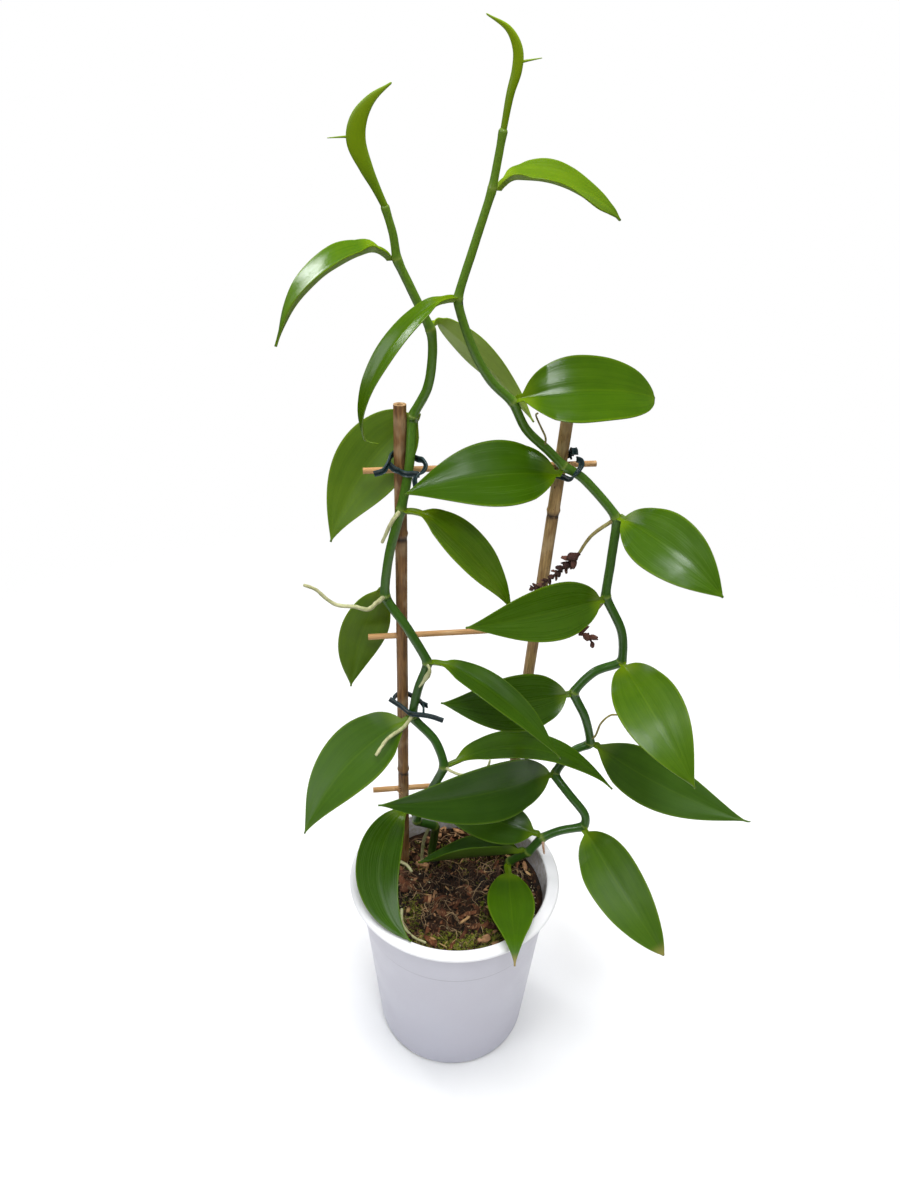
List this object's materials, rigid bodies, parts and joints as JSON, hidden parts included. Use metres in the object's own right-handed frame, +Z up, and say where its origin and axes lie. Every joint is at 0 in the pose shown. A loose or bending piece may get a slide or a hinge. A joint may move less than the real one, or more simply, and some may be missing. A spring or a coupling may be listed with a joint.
{
  "type": "potted climbing orchid",
  "caption": "Climbing vanilla orchid with fleshy pointed leaves on zigzag vines tied up a bamboo ladder, in a white tapered pot of bark mix.",
  "frame": {"origin": "centre of the pot's foot, on the surface that it stands on", "axes": "+Z up along the pot's axis; -Y is the front, which most leaf faces turn to; +X to the right seen from the front"},
  "size_m": [0.2429, 0.1249, 0.53],
  "materials": {
    "pot": "semi-gloss white",
    "bark": "rough shredded bark and coir",
    "bamboo": "dry cane",
    "rung": "split bamboo",
    "stem": "fleshy green skin",
    "leaf": "fleshy, semi-gloss green",
    "young": "fleshy, yellow-green",
    "root": "dull pale green",
    "withered": "dry and shrivelled",
    "tie": "dark plastic"
  },
  "bodies": {
    "root": {"pot": "pot", "bark_mix": "bark", "cane_left": "bamboo", "cane_right": "bamboo", "rung_lower": "rung", "rung_middle": "rung", "rung_upper": "rung", "vine_left": "stem", "vine_right": "stem", "leaf_left_1": "leaf", "leaf_left_2": "leaf", "leaf_left_3": "leaf", "leaf_left_4": "leaf", "leaf_left_5": "leaf", "leaf_left_6": "leaf", "leaf_left_7": "leaf", "leaf_left_8": "leaf", "leaf_left_9": "leaf", "leaf_right_0": "leaf", "leaf_right_1": "leaf", "leaf_right_2": "leaf", "leaf_right_3": "leaf", "leaf_right_4": "leaf", "leaf_right_5": "leaf", "leaf_right_6": "leaf", "leaf_right_7": "leaf", "leaf_right_8": "leaf", "leaf_right_9": "leaf", "leaf_right_10": "leaf", "leaf_right_11": "leaf", "leaf_right_12": "leaf", "leaf_right_13": "leaf", "young_left": "young", "young_right": "young", "root_left_6": "root", "root_left_5": "root", "root_left_4": "root", "root_left_3": "root", "root_left_2": "root", "root_bark_rear": "root", "root_bark_left": "root", "root_bark_front": "root", "tendril_right_5": "root", "tendril_right_10": "root", "dry_sheath": "withered", "spike_upper_stalk": "root", "spike_upper_bracts": "withered", "spike_lower_stalk": "root", "spike_lower_bracts": "withered", "tie_left_upper": "tie", "tie_right": "tie", "tie_left_lower": "tie"}
  },
  "joints": []
}
